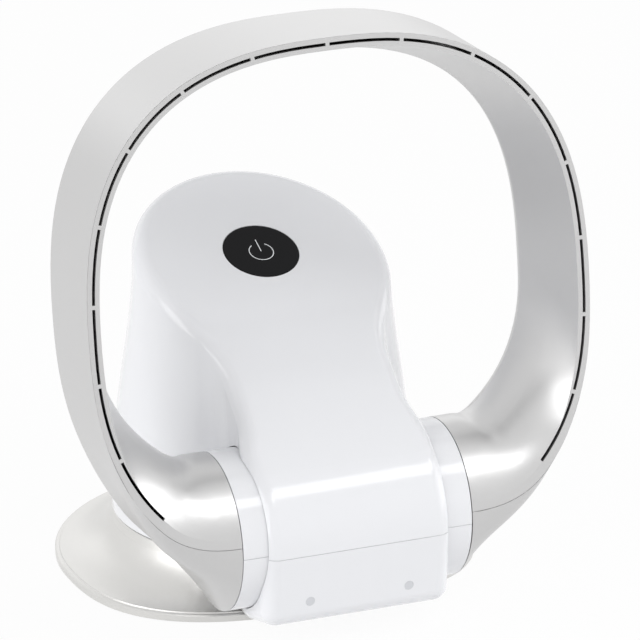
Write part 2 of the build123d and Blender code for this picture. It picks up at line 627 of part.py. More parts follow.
# ---- tower floor and drive --------------------------------------------------------
def tower_pan():
    """The floor that carries the duct, the swivel motor and the driver board."""
    low, top = PAN_Z, PAN_Z + PAN_T
    pan = disc(NECK_R - COVER_WALL - GAP, low, top)
    pan -= block(-130, 130, -130, PAN_FRONT_Y, low - 1, top + 1)
    for x, y in DUCT_POSTS:
        pan += disc(BOSS_R, top, BOWL_LOW, x, y)
        pan -= disc(SCREW_R, BOWL_LOW - 12, BOWL_LOW + 1, x, y)
    for x, y in BOARD_POSTS:
        pan += disc(2.5, top, BOARD_Z, x, y)
        pan -= disc(SCREW_R - 0.4, BOARD_Z - 4, BOARD_Z + 1, x, y)
    pan -= disc(SPINDLE_R + 0.1, low - 1, top + 1)
    pan -= disc(OSC_SHAFT_R + 2, low - 1, top + 1, 0, SHAFT_DISTANCE)
    for angle in SPINDLE_SCREW_ANGLES:
        pan -= Rot(0, 0, angle) * Pos(SPINDLE_SCREW_R, 0, 0) * disc(SCREW_R, low - 1, top + 1)
    y = SHAFT_DISTANCE + OSC_SHAFT_OFFSET
    for side in (-1, 1):
        pan -= disc(SCREW_R, low - 1, top + 1, side * 27, y)
    for x, y in PAN_SCREWS:
        pan -= disc(SCREW_HEAD_R + 0.2, low - 1, low + 1.4, x, y)
        pan -= disc(SCREW_R + 0.2, low - 1, top + 1, x, y)
    return pan


def pan_screws():
    """Flat screws up through the pan into the covers."""
    return joined([disc(SCREW_HEAD_R, PAN_Z + 0.1, PAN_Z + 1.4, x, y)
                   + disc(SCREW_R, PAN_Z + 1.4, PAN_Z + PAN_T + 9, x, y) for x, y in PAN_SCREWS])


def driver_board():
    """The motor driver's circuit board with its tall parts."""
    x0, x1, y0, y1 = BOARD_BOX
    top = BOARD_Z + BOARD_T
    board = block(x0, x1, y0, y1, BOARD_Z, top)
    board += block(x0 + 6, x0 + 20, y0 + 8, y0 + 12, top, top + 8)
    board += disc(4, top, top + 8.5, x1 - 10, y1 - 12) + disc(4, top, top + 8.5, x1 - 20, y1 - 12)
    board += block(x0 + 8, x0 + 18, y1 - 22, y1 - 12, top, top + 1.5)
    for x, y in BOARD_POSTS:
        board -= disc(SCREW_R, BOARD_Z - 1, top + 1, x, y)
    return board


def board_screws():
    """Small screws that hold the driver board to its posts."""
    return joined([disc(2.2, BOARD_Z + BOARD_T, BOARD_Z + BOARD_T + 1.2, x, y)
                   + disc(SCREW_R - 0.4, BOARD_Z - 3, BOARD_Z + BOARD_T, x, y) for x, y in BOARD_POSTS])


# ---- air duct -----------------------------------------------------------------------
def duct_form(shrink):
    """The duct from the fan's bowl to the cross tube, or the space inside it when shrunk."""
    over = 5 if shrink else 0
    form = disc(BOWL_R - shrink, BOWL_LOW + shrink, BOWL_TOP + over)
    form += block(shrink - THROAT_HALF, THROAT_HALF - shrink, PIVOT_Y, 0,
                  BOWL_LOW + shrink, THROAT_TOP - shrink)
    form += cross(CROSS_R - shrink, -COLLAR_IN - over, COLLAR_IN + over)
    return form - over_base(SWIVEL_GAP + COVER_WALL + 1 + shrink)


def collar():
    """The right collar that the ring's end turns on, open to the cross tube."""
    whole = cross(COLLAR_R, COLLAR_IN, COLLAR_OUT) - over_base(SWIVEL_GAP)
    bore = SPIGOT_R + GAP
    pocket = cross(COLLAR_R - DUCT_WALL, COLLAR_IN + DUCT_WALL, COLLAR_OUT - 4)
    pocket -= cross(bore + DUCT_WALL, COLLAR_IN, COLLAR_OUT)
    pocket -= over_base(SWIVEL_GAP + DUCT_WALL)
    washer_seat = cross(WASHER_R + 0.1, COLLAR_OUT - WASHER_T + GAP, COLLAR_OUT + 1)
    return whole - pocket - cross(bore, COLLAR_IN - 1, COLLAR_OUT + 1) - washer_seat


def duct():
    """The whole duct with both collars."""
    whole = duct_form(0) - duct_form(DUCT_WALL)
    whole -= cross(SPIGOT_R + GAP, -COLLAR_OUT, COLLAR_OUT)
    for side in both_sides(collar()):
        whole += side
    return whole


def duct_upper(whole):
    """Upper half of the duct, with the flange that carries the fan stage."""
    half = whole & block(-130, 130, -200, 100, PIVOT_Z, 200)
    half += tube(BOWL_FLANGE_R, BOWL_R - DUCT_WALL, BOWL_TOP - BOWL_FLANGE_T, BOWL_TOP)
    return half


def duct_lower(whole):
    """Lower half of the duct, with the bosses for the housing's screws."""
    half = whole & block(-130, 130, -200, 100, 0, PIVOT_Z - PART_LINE)
    start = front_y(PLUG_Z) + CUP_DEPTH + GAP
    air = duct_form(DUCT_WALL)
    for x in (-PLUG_X, PLUG_X):
        boss = forward(BOSS_R, start, start + 16, x, PLUG_Z) - air
        half += boss.solids().sort_by(Axis.Y)[0]
        half -= forward(SCREW_R, start - 1, start + 12, x, PLUG_Z)
    for x, y in DUCT_POSTS:
        half -= disc(SCREW_R + 0.2, BOWL_LOW - 1, BOWL_LOW + DUCT_WALL + 1, x, y)
    return half


def duct_screws():
    """Screws from the bowl's floor down into the pan's posts."""
    return joined([down_screw(x, y, BOWL_LOW + DUCT_WALL, 12.0) for x, y in DUCT_POSTS])


# ---- fan stage ------------------------------------------------------------------------
STAGE_LOW = BOWL_TOP + MOUNT_T
MOTOR_LOW = STAGE_LOW + HUB_CUP_T
MOTOR_HIGH = MOTOR_LOW + MOTOR_T
IMPELLER_LOW = MOTOR_HIGH + 3.0


def rubber_mounts():
    """Soft blocks that carry the fan stage on the bowl's flange."""
    return joined(around(3, MOUNT_RING_R, disc(MOUNT_R, BOWL_TOP, STAGE_LOW), 90))


def stage_seal():
    """The soft ring that seals the fan stage to the bowl."""
    return tube(BOWL_R - 1.0, BOWL_R - DUCT_WALL, BOWL_TOP, STAGE_LOW)


def fan_shroud():
    """The tube round the impeller, with its foot flange and bell mouth."""
    bore = SHROUD_R - SHROUD_WALL
    shroud = tube(BOWL_FLANGE_R, bore, STAGE_LOW, STAGE_LOW + 2.5)
    shroud += tube(SHROUD_R, bore, STAGE_LOW, SHROUD_TOP)
    under, edge, share = BELL_R - SHROUD_WALL, bore + BELL_R, math.sqrt(0.5)
    bell = [Line((bore, SHROUD_TOP), (SHROUD_R, SHROUD_TOP)),
            ThreePointArc((SHROUD_R, SHROUD_TOP),
                          (SHROUD_R + under * (1 - share), SHROUD_TOP + under * share),
                          (edge, SHROUD_TOP + under)),
            Line((edge, SHROUD_TOP + under), (edge, SHROUD_TOP + BELL_R)),
            ThreePointArc((edge, SHROUD_TOP + BELL_R),
                          (bore + BELL_R * (1 - share), SHROUD_TOP + BELL_R * share),
                          (bore, SHROUD_TOP))]
    return shroud + spun(*bell)


def diffuser():
    """Fixed vanes between the motor's cup and a sleeve inside the shroud."""
    low = STAGE_LOW
    sleeve_r = SHROUD_R - SHROUD_WALL - 0.1
    sleeve = tube(sleeve_r, sleeve_r - 1.6, low, MOTOR_HIGH)
    cup_bore = HUB_CUP_R - HUB_CUP_WALL
    cup = disc(HUB_CUP_R, low, MOTOR_HIGH) - disc(cup_bore, MOTOR_LOW, MOTOR_HIGH + 1)
    cup -= disc(BEARING_R + 1, low - 1, MOTOR_LOW + 1)
    vane = Rot(-25, 0, 0) * Box(sleeve_r - 1 - cup_bore - 0.5, VANE_T, MOTOR_HIGH - low + 2)
    middle = (sleeve_r - 1 + cup_bore + 0.5) / 2
    zone = tube(sleeve_r - 0.8, cup_bore + 1, low, MOTOR_HIGH)
    vanes = [blade & zone for blade in
             around(VANE_COUNT, middle, Pos(0, 0, (low + MOTOR_HIGH) / 2) * vane)]
    return cup + sleeve + vanes


def motor_can():
    """The motor's round casing with a bearing seat at each end."""
    outer = HUB_CUP_R - HUB_CUP_WALL - 0.1
    can = disc(outer, MOTOR_LOW, MOTOR_HIGH)
    can -= disc(STATOR_R + 0.1, MOTOR_LOW + 2, MOTOR_HIGH - 2)
    can -= disc(BEARING_R, MOTOR_LOW - 1, MOTOR_LOW + BEARING_T)
    can -= disc(BEARING_R, MOTOR_HIGH - BEARING_T, MOTOR_HIGH + 1)
    for low, high in ((MOTOR_LOW + 2, MOTOR_LOW + BEARING_T), (MOTOR_HIGH - BEARING_T, MOTOR_HIGH - 2)):
        can += tube(BEARING_R + 1.5, BEARING_R, low, high)
    return can


def bearing(low):
    """A ball bearing, as one ring with running room round the shaft."""
    return tube(BEARING_R, SHAFT_R + SLIP, low, low + BEARING_T)


def stator():
    """The wound core fixed in the motor casing."""
    core = tube(STATOR_R, STATOR_BORE_R, MOTOR_LOW + BEARING_T + 1, MOTOR_HIGH - BEARING_T - 1)
    slot = block(0, STATOR_R - STATOR_BORE_R - 3, -1.2, 1.2, MOTOR_LOW, MOTOR_HIGH)
    for notch in around(9, STATOR_BORE_R - 1, slot):
        core -= notch
    return core


def rotor_magnet():
    """The magnet ring on the shaft."""
    low, high = MOTOR_LOW + BEARING_T + 1, MOTOR_HIGH - BEARING_T - 1
    return tube(STATOR_BORE_R - MAGNET_GAP, SHAFT_R, low, high)


def motor_shaft():
    """The steel shaft from the lower bearing to the impeller's nut."""
    return disc(SHAFT_R, MOTOR_LOW - 1, IMPELLER_LOW + IMPELLER_T + 5)


def impeller():
    """The mixed-flow wheel: a domed hub and slanted blades."""
    top = IMPELLER_LOW + IMPELLER_T
    hub_low = HUB_CUP_R - 1
    hub = spun(Polyline((SHAFT_R, top), (SHAFT_R, IMPELLER_LOW), (hub_low, IMPELLER_LOW)),
               ThreePointArc((hub_low, IMPELLER_LOW), (hub_low * 0.72, IMPELLER_LOW + IMPELLER_T * 0.66),
                             (8, top)),
               Line((8, top), (SHAFT_R, top)))
    room = spun(Polyline((SHAFT_R + 2, IMPELLER_LOW + 1), (IMPELLER_TIP_R, IMPELLER_LOW + 1),
                         (IMPELLER_TIP_R, top - 6), (IMPELLER_TIP_R - 4, top - 1),
                         (SHAFT_R + 2, top - 1), (SHAFT_R + 2, IMPELLER_LOW + 1)))
    blade = Rot(BLADE_TILT, 0, 0) * Box(IMPELLER_TIP_R, BLADE_T, IMPELLER_T * 1.6)
    blade = Pos(0, 0, IMPELLER_LOW + IMPELLER_T / 2) * blade
    blades = [turned & room for turned in around(BLADE_COUNT, IMPELLER_TIP_R / 2 + 4, blade)]
    return hub + blades


def impeller_nut():
    """The nut that holds the impeller on the shaft."""
    low = IMPELLER_LOW + IMPELLER_T
    hexagon = extrude(RegularPolygon(4.6, 6), 4)
    return Pos(0, 0, low) * hexagon - disc(SHAFT_R, low - 1, low + 5)


# ---- power key ----------------------------------------------------------------------------
BOARD_DEPTH = FRAME_DEPTH + 7.5      # control board's top face, below the slanted face


def on_slope(shape):
    """A shape modelled about the key's axis, put on the slanted top."""
    return KEY_PLANE * shape


def power_key():
    """The round glossy key with its stem."""
    cap = disc(KEY_R, KEY_PROUD - KEY_T, KEY_PROUD)
    cap = fillet(cap.edges().sort_by(Axis.Z)[-1], 0.6)
    stem_end = SWITCH_H + PLUNGER_PROUD - BOARD_DEPTH
    return on_slope(cap + disc(KEY_STEM_R, stem_end, KEY_PROUD - KEY_T))


def key_frame():
    """The holder under the cover that guides the key and carries its board."""
    outer = KEY_R + GAP + FRAME_WALL
    cup = disc(outer, -FRAME_DEPTH, -COVER_WALL - 0.1) - disc(KEY_R + GAP, FRAME_FLOOR - FRAME_DEPTH, 0)
    cup -= disc(KEY_STEM_R + 0.1, -FRAME_DEPTH - 1, 0)
    for x, y in KEY_SCREWS:
        cup += disc(3.0, -BOARD_DEPTH, -FRAME_DEPTH + 0.5, x, y)
        cup -= disc(SCREW_R - 0.4, -BOARD_DEPTH - 1, -FRAME_DEPTH, x, y)
    return on_slope(cup)


def control_board():
    """The round board under the key."""
    board = disc(KEY_R - 1, -BOARD_DEPTH - BOARD_T, -BOARD_DEPTH)
    for x, y in KEY_SCREWS:
        board -= disc(SCREW_R, -BOARD_DEPTH - 3, -BOARD_DEPTH + 1, x, y)
    return on_slope(board)


def control_board_screws():
    """Small screws that hold the control board to the key's frame."""
    under = -BOARD_DEPTH - BOARD_T
    return joined([on_slope(disc(2.2, under - 1.2, under, x, y)
                            + disc(SCREW_R - 0.4, under, under + BOARD_T + 4, x, y))
                   for x, y in KEY_SCREWS])


def tact_switch():
    """The square push switch on the control board, with its plunger's well."""
    half = SWITCH_SIDE / 2
    body = block(-half, half, -half, half, -BOARD_DEPTH, SWITCH_H - BOARD_DEPTH)
    well = PLUNGER_TAIL + KEY_TRAVEL + GAP
    return on_slope(body - disc(PLUNGER_R + 0.1, SWITCH_H - BOARD_DEPTH - well, 0))


def switch_plunger():
    """The switch's plunger, which the key's stem rests on."""
    top = SWITCH_H - BOARD_DEPTH
    return on_slope(disc(PLUNGER_R, top - PLUNGER_TAIL, top + PLUNGER_PROUD))


# ---- air ring -----------------------------------------------------------------------------
LEAN_ANGLE = math.radians(LEAN)
RING_UP = Vector(0, math.sin(LEAN_ANGLE), math.cos(LEAN_ANGLE))
RING_FRONT = Vector(0, -math.cos(LEAN_ANGLE), math.sin(LEAN_ANGLE))
PIVOT = Vector(0, PIVOT_Y, PIVOT_Z)


def ring_place(w, h, depth):
    """A point from across, up the ring, and behind its front plane."""
    return PIVOT + Vector(w, 0, 0) + RING_UP * h + RING_FRONT * (FRONT_OFFSET - depth)


def slot_line(degrees):
    """A point of the slot line and its outward direction, on the superellipse."""
    angle = math.radians(degrees)
    c, s = math.cos(angle), math.sin(angle)
    half_h, power = (LOOP_UP, POWER_UP) if s > 0 else (LOOP_DOWN, POWER_DOWN)
    share = 2 / power
    w = LOOP_HALF * math.copysign(abs(c) ** share, c)
    h = half_h * math.copysign(abs(s) ** share, s)
    out = Vector(math.copysign(abs(w) ** (power - 1), w) / LOOP_HALF ** power,
                 math.copysign(abs(h) ** (power - 1), h) / half_h ** power, 0).normalized()
    return Vector(w, h + LOOP_H, 0), out


def slot_samples(count):
    """Points evenly along the slot line from the right end over the top to the left end."""
    fine = [slot_line(SLOT_END + (180 - 2 * SLOT_END) * i / 2000) for i in range(2001)]
    travelled = [0.0]
    for (before, _), (after, _) in zip(fine, fine[1:]):
        travelled.append(travelled[-1] + (after - before).length)
    picked, index = [], 0
    for i in range(count + 1):
        target = travelled[-1] * i / count
        while index < 2000 and travelled[index] < target - 1e-9:
            index += 1
        picked.append(fine[index])
    return picked, travelled[-1]


def end_stations():
    """Stations from the round end at the collar up to the slot line's end."""
    start, out = slot_line(SLOT_END)
    along = Vector(out.Y, -out.X, 0)
    finish = Vector(END_X, END_H, 0)
    first, second = start + along * END_HANDLES[0], finish + Vector(END_HANDLES[1], 0, 0)
    stations = []
    for t in (1.0, 0.94, 0.84, 0.68, 0.5, 0.33, 0.16):
        u = 1 - t
        point = start * u**3 + first * (3 * u * u * t) + second * (3 * u * t * t) + finish * t**3
        speed = ((first - start) * (3 * u * u) + (second - first) * (6 * u * t)
                 + (finish - second) * (3 * t * t)).normalized()
        stations.append((point, Vector(-speed.Y, speed.X, 0)))
    return stations


RING_STEPS = 26


def ring_stations():
    """All stations with their two morphs, from the full section (0) to the round end (1)."""
    low = end_stations()
    loop, _ = slot_samples(RING_STEPS)
    right = low + loop[:RING_STEPS // 2 + 1]
    travelled, total = [0.0], 0.0
    for (before, _), (after, _) in zip(right, right[1:]):
        total += (after - before).length
        travelled.append(total)
    stations = []
    for (point, out), distance in zip(right, travelled):
        share = min(1.0, max(0.0, 1 - (distance - MORPH_FLAT) / MORPH_LENGTH))
        outer = max(0.0, 1 - distance / OUTER_LENGTH)
        stations.append((point, out, (share * share * (3 - 2 * share), outer)))
    left = [(Vector(-p.X, p.Y, 0), Vector(-n.X, n.Y, 0), m) for p, n, m in reversed(stations[:-1])]
    return stations + left


def full_outline():
    """Points of the ring's section: across (outwards) and depth, in four runs."""
    lip = [(LIP_OUT, 0), ((LIP_OUT - LIP_IN) / 2, 0), (-LIP_IN, 0)]
    wall_end = (-LIP_IN - REAR_IN, SEAM_DEPTH)
    wall = [(-LIP_IN + (wall_end[0] + LIP_IN) * t, SEAM_DEPTH * t) for t in (0, 0.25, 0.5, 0.75, 1)]
    s, back = wall_end[0], BAND_DEPTH
    corner = back - 3
    rear = [wall_end, (s + 2.6, back - 3.4), (s + 9, back), (-3.0, back + 0.2), (LIP_OUT, corner)]
    band = [(LIP_OUT, corner + (PART_DEPTH - corner) * t) for t in (0, 0.25, 0.5, 0.75, 1)]
    return lip, wall, rear, band


def round_outline():
    """The same points on the round end, a circle about the pivot axis."""
    def on_circle(degrees):
        angle = math.radians(degrees)
        return END_H + COLLAR_R * math.sin(angle), FRONT_OFFSET - COLLAR_R * math.cos(angle)

    def run(first, last, count):
        return [on_circle(first + (last - first) * i / (count - 1)) for i in range(count)]

    lip_out, lip_in = ROUND_ANGLES[0], ROUND_ANGLES[1]
    seam, corner = ROUND_ANGLES[2], ROUND_ANGLES[3]
    part = lip_out - 360 + math.degrees(PART_DEPTH / COLLAR_R)
    return run(lip_out, lip_in, 3), run(lip_in, seam, 5), run(seam, corner, 5), run(corner, part, 5)


def section(morph):
    """The section's four runs, each point between the full and the round outline."""
    inner, outer = morph
    band = [outer ** power for power in BAND_POWERS] + [inner]
    rear = [inner + (band[0] - inner) * step / 4 for step in range(5)]
    runs = []
    for full, rounded, shares in zip(full_outline(), round_outline(), ([inner] * 3, [inner] * 5, rear, band)):
        runs.append([(a[0] + (b[0] - a[0]) * share, a[1] + (b[1] - a[1]) * share)
                     for a, b, share in zip(full, rounded, shares)])
    return runs


def moved_in(runs, wall):
    """Several joined runs moved inwards by a wall, with mitres where they meet."""
    chain = [runs[0][0]]
    for run in runs:
        chain += run[1:]
    normals = []
    for (s0, q0), (s1, q1) in zip(chain, chain[1:]):
        length = math.hypot(s1 - s0, q1 - q0)
        normals.append(((q0 - q1) / length, (s1 - s0) / length))
    shifted = []
    for i, (s, q) in enumerate(chain):
        a, b = normals[i - 1], normals[i % len(normals)]
        scale = wall / (1 + a[0] * b[0] + a[1] * b[1])
        shifted.append((s - (a[0] + b[0]) * scale, q - (a[1] + b[1]) * scale))
    result, at = [], 0
    for run in runs:
        result.append(shifted[at:at + len(run)])
        at += len(run) - 1
    return result


def strip(runs, inner_runs, point, out, rise_share):
    """A closed wire round a wall: its outer runs, and the same runs moved inwards."""
    def place(pair):
        s, depth = pair
        rise = BAND_RISE * depth * rise_share
        return ring_place(point.X + out.X * s, point.Y + out.Y * s + rise, depth)

    outer = [[place(pair) for pair in run] for run in runs]
    inner = [[place(pair) for pair in run] for run in inner_runs]
    edges = [Edge.make_spline(run) for run in outer]
    edges.append(Edge.make_line(outer[-1][-1], inner[-1][-1]))
    edges += [Edge.make_spline(list(reversed(run))) for run in reversed(inner)]
    edges.append(Edge.make_line(inner[0][0], outer[0][0]))
    return Wire(edges)


def ring_shell(first, last):
    """One shell of the ring, from a span of the section's four runs."""
    wires = []
    for point, out, morph in ring_stations():
        runs = section(morph)
        inner_runs = moved_in(runs, RING_WALL)
        wires.append(strip(runs[first:last], inner_runs[first:last], point, out, (1 - morph[0]) ** 2))
    return Solid.make_loft(wires)


def slot_cutters():
    """The sixteen slots in the front lip, with a bridge between each two."""
    samples, length = slot_samples(SLOT_COUNT * SLOT_SUBSTEPS)
    cutters = []
    for index in range(SLOT_COUNT):
        piece = samples[index * SLOT_SUBSTEPS:(index + 1) * SLOT_SUBSTEPS + 1]
        trimmed = []
        for i, (p, n) in enumerate(piece):
            along = Vector(-n.Y, n.X, 0)
            shift = BRIDGE / 2 * (1 if i == 0 else -1 if i == SLOT_SUBSTEPS else 0)
            trimmed.append((p + along * shift, n))
        outer = [ring_place(p.X + n.X * SLOT_WIDTH / 2, p.Y + n.Y * SLOT_WIDTH / 2, -3)
                 for p, n in trimmed]
        inner = [ring_place(p.X - n.X * SLOT_WIDTH / 2, p.Y - n.Y * SLOT_WIDTH / 2, -3)
                 for p, n in reversed(trimmed)]
        wire = Wire([Edge.make_spline(outer), Edge.make_line(outer[-1], inner[0]),
                     Edge.make_spline(inner), Edge.make_line(inner[-1], outer[0])])
        cutters.append(Solid.extrude(Face(wire), RING_FRONT * -8))
    return cutters


def ring_front_shell():
    """The slotted front lip and the inner wall of the ring."""
    return ring_shell(0, 2) - slot_cutters()


def ring_rear_shell():
    """The outer band and the rounded rear of the ring."""
    return ring_shell(2, 4)


def spigot():
    """The right-hand tube that the ring turns on, with its flange inside the ring's end."""
    bore = SPIGOT_R - SPIGOT_WALL
    flange_in = END_X + 0.2
    whole = cross(SPIGOT_R, SPIGOT_IN, flange_in + FLANGE_T)
    seat_r = COLLAR_R - RING_WALL - 2 * GAP
    cone = Cone(seat_r, seat_r - FLANGE_TAPER, FLANGE_T)
    whole += Pos(flange_in + FLANGE_T / 2, PIVOT_Y, PIVOT_Z) * Rot(0, 90, 0) * cone
    return whole - cross(bore, SPIGOT_IN - 1, flange_in + FLANGE_T + 1)


def friction_washers():
    """The two rings in the collars' ends that hold the tilt by friction."""
    washer = cross(WASHER_R, COLLAR_OUT - WASHER_T + GAP, COLLAR_OUT + GAP)
    washer -= cross(SPIGOT_R + GAP, COLLAR_OUT - WASHER_T, COLLAR_OUT + 1)
    return joined(both_sides(washer))


# ---- every piece ---------------------------------------------------------------------------
def write_parts():
    shell = tower_shell()
    air = duct()
    right_spigot = spigot()
    pieces = {
        "base_cover": base_cover(),
        "base_bottom_plate": base_bottom_plate(),
        "base_weight": base_weight(),
        "foot_ring": foot_ring(),
        "base_screws": base_screws(),
        "dc_jack": dc_jack(),
        "base_gear": base_gear(),
        "glide_ring": glide_ring(),
        "swivel_spindle": swivel_spindle(),
        "spindle_screws": spindle_screws(),
        "retaining_clip": retaining_clip(),
        "tower_pan": tower_pan(),
        "pan_screws": pan_screws(),
        "oscillation_motor": oscillation_motor(),
        "motor_ear_screws": motor_ear_screws(),
        "oscillation_pinion": oscillation_pinion(),
        "driver_board": driver_board(),
        "board_screws": board_screws(),
        "front_cover": front_cover(shell),
        "rear_cover": rear_cover(shell),
        "rear_cover_screws": rear_cover_screws(),
        "pivot_lower_cover": pivot_lower_cover(shell),
        "lower_cover_screws": lower_cover_screws(),
        "screw_plugs": screw_plugs(),
        "duct_upper": duct_upper(air),
        "duct_lower": duct_lower(air),
        "duct_screws": duct_screws(),
        "rubber_mounts": rubber_mounts(),
        "stage_seal": stage_seal(),
        "fan_shroud": fan_shroud(),
        "diffuser": diffuser(),
        "motor_can": motor_can(),
        "lower_bearing": bearing(MOTOR_LOW),
        "upper_bearing": bearing(MOTOR_HIGH - BEARING_T),
        "stator": stator(),
        "rotor_magnet": rotor_magnet(),
        "motor_shaft": motor_shaft(),
        "impeller": impeller(),
        "impeller_nut": impeller_nut(),
        "power_key": power_key(),
        "key_frame": key_frame(),
        "control_board": control_board(),
        "control_board_screws": control_board_screws(),
        "tact_switch": tact_switch(),
        "switch_plunger": switch_plunger(),
        "friction_washers": friction_washers(),
        "right_spigot": right_spigot,
        "left_spigot": mirror(right_spigot, Plane.YZ),
        "ring_front_shell": ring_front_shell(),
        "ring_rear_shell": ring_rear_shell(),
    }
    for name, piece in pieces.items():
        export_step(piece, f"parts/{name}.step")


write_parts()
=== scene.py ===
import bpy
import json
import math
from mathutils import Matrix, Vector


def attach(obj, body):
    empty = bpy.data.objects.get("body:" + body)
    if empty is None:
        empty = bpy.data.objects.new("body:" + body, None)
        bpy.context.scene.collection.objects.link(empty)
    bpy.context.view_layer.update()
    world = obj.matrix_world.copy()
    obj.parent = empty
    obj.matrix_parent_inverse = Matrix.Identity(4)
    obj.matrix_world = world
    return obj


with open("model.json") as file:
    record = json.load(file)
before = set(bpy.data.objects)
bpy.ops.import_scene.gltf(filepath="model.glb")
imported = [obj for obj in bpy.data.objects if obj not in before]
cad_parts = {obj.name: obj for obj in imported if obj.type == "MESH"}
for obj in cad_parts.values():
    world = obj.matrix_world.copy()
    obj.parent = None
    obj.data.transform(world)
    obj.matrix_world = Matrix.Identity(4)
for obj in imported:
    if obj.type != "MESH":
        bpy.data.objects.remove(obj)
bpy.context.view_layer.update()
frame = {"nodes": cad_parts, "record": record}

# A bladeless fan: pearl base, glossy white tower, satin silver air ring, black key.
# Every CAD node stays and gets its finish here. The key's printed symbol is the one new piece.
# Metres, watts and degrees, in the same frame as the CAD.


# ---- camera, floor and light ------------------------------------------------------
CAMERA_AT = (-1.4134, -3.5280, 1.6015)
CAMERA_AZIMUTH = -22.41
CAMERA_ELEVATION = 20.74
CAMERA_LENS = 350.5        # millimetres, as is the sensor
CAMERA_SENSOR = 36.0
CAMERA_REACH = 100.0

FLOOR_SIZE = 30.0
FLOOR_COLOUR = (0.88, 0.88, 0.88, 1.0)
FLOOR_ROUGHNESS = 0.7
FLOOR_WHITE = 0.95         # the share of plain white that is seen on the floor
SKY_LIGHT = 0.50           # how strongly the surround lights, where 1 is white
SKY_SEEN = 1.0             # and how strongly it is seen

LAMP_AIM = (0.0, -0.05, 0.18)
LAMPS = [                  # name, place, width and height, power
    ("front_softbox", (0.61, -1.07, 1.55), (1.7, 0.38), 8.5),
    ("back_softbox", (0.25, 2.4, 1.0), (2.8, 1.1), 4),
    ("left_softbox", (-2.2, -0.6, 0.55), (2.4, 2.0), 34),
    ("right_softbox", (2.2, -0.8, 0.55), (2.4, 2.0), 27),
]


# ---- the key and its power symbol -------------------------------------------------
KEY_CENTRE = (0.0, 0.0, 0.2103)
KEY_TILT = 22.2
KEY_PROUD = 0.0002         # how far the print's underside stands off the key's centre

SYMBOL_R = 0.0080
SYMBOL_SIDES = 96
SYMBOL_GAP = 32.0          # each side of the top stays open by this angle
SYMBOL_DROP = 0.0006       # the ring's centre lies this far below the key's
STROKE = 0.00060
PRINT_HEIGHT = 0.00004
BAR_LOW, BAR_HIGH = -0.0004, 0.0112
BAR_ROUNDING = 0.3         # the bar's corners, as a share of the stroke
BAR_CORNER_STEPS = 3


# ---- shared shader effects --------------------------------------------------------
VARIATION_DETAIL = 4.0     # layers of noise in the slow unevenness
GRAIN_DETAIL = 2.0         # and in the fine grain
NOISE_MIDDLE = 0.5
GRAIN_UNIT = 1.0           # the grain's depth is in metres already
EDGE_START = 0.52          # the pointiness at which an edge begins to lighten
EDGE_FULL = 0.62           # and at which it is as light as it gets
EDGE_AMOUNT = 0.3
MIX_A, MIX_B, MIX_RESULT = 6, 7, 2     # the Mix node's sockets for colours


def calculate(tree, operation, *values):
    """The result of one Math node, fed with sockets and numbers in their order."""
    step = tree.nodes.new("ShaderNodeMath")
    step.operation = operation
    for socket, value in zip(step.inputs, values):
        if isinstance(value, float):
            socket.default_value = value
        else:
            tree.links.new(value, socket)
    return step.outputs[0]


def new_group(name, inputs, outputs):
    """A shader node group with named sockets, and its input and output nodes."""
    group = bpy.data.node_groups.new(name, "ShaderNodeTree")
    for label, kind, value in inputs:
        socket = group.interface.new_socket(label, in_out="INPUT", socket_type=kind)
        socket.default_value = value
    for label, kind in outputs:
        group.interface.new_socket(label, in_out="OUTPUT", socket_type=kind)
    start = group.nodes.new("NodeGroupInput")
    end = group.nodes.new("NodeGroupOutput")
    return group, start, end


def group_noise(group, start, detail):
    """Noise over the group's own coordinates, at the group's own scale."""
    noise = group.nodes.new("ShaderNodeTexNoise")
    noise.inputs["Detail"].default_value = detail
    group.links.new(start.outputs["Coordinates"], noise.inputs["Vector"])
    group.links.new(start.outputs["Scale"], noise.inputs["Scale"])
    return noise.outputs["Fac"]


def surface_variation():
    """Slow unevenness of a moulded or painted surface: its roughness and its tone."""
    group, start, end = new_group(
        "surface variation",
        [("Coordinates", "NodeSocketVector", (0, 0, 0)),
         ("Scale", "NodeSocketFloat", 40.0),
         ("Base Roughness", "NodeSocketFloat", 0.3),
         ("Roughness Swing", "NodeSocketFloat", 0.05),
         ("Colour", "NodeSocketColor", (1, 1, 1, 1)),
         ("Tone Swing", "NodeSocketFloat", 0.02)],
        [("Roughness", "NodeSocketFloat"), ("Colour", "NodeSocketColor")])
    noise = group_noise(group, start, VARIATION_DETAIL)
    centred = calculate(group, "SUBTRACT", noise, NOISE_MIDDLE)
    rough = calculate(group, "MULTIPLY_ADD", centred,
                      start.outputs["Roughness Swing"], start.outputs["Base Roughness"])
    tone = calculate(group, "MULTIPLY_ADD", centred, start.outputs["Tone Swing"], 1.0)
    shade = group.nodes.new("ShaderNodeVectorMath")
    shade.operation = "SCALE"
    group.links.new(start.outputs["Colour"], shade.inputs[0])
    group.links.new(tone, shade.inputs["Scale"])
    group.links.new(rough, end.inputs["Roughness"])
    group.links.new(shade.outputs["Vector"], end.inputs["Colour"])
    return group


def fine_grain():
    """The height of a fine grain, such as paint flake or moulding texture."""
    group, start, end = new_group(
        "fine grain",
        [("Coordinates", "NodeSocketVector", (0, 0, 0)),
         ("Scale", "NodeSocketFloat", 2000.0),
         ("Depth", "NodeSocketFloat", 0.00001)],
        [("Height", "NodeSocketFloat")])
    noise = group_noise(group, start, GRAIN_DETAIL)
    height = calculate(group, "MULTIPLY", noise, start.outputs["Depth"])
    group.links.new(height, end.inputs["Height"])
    return group


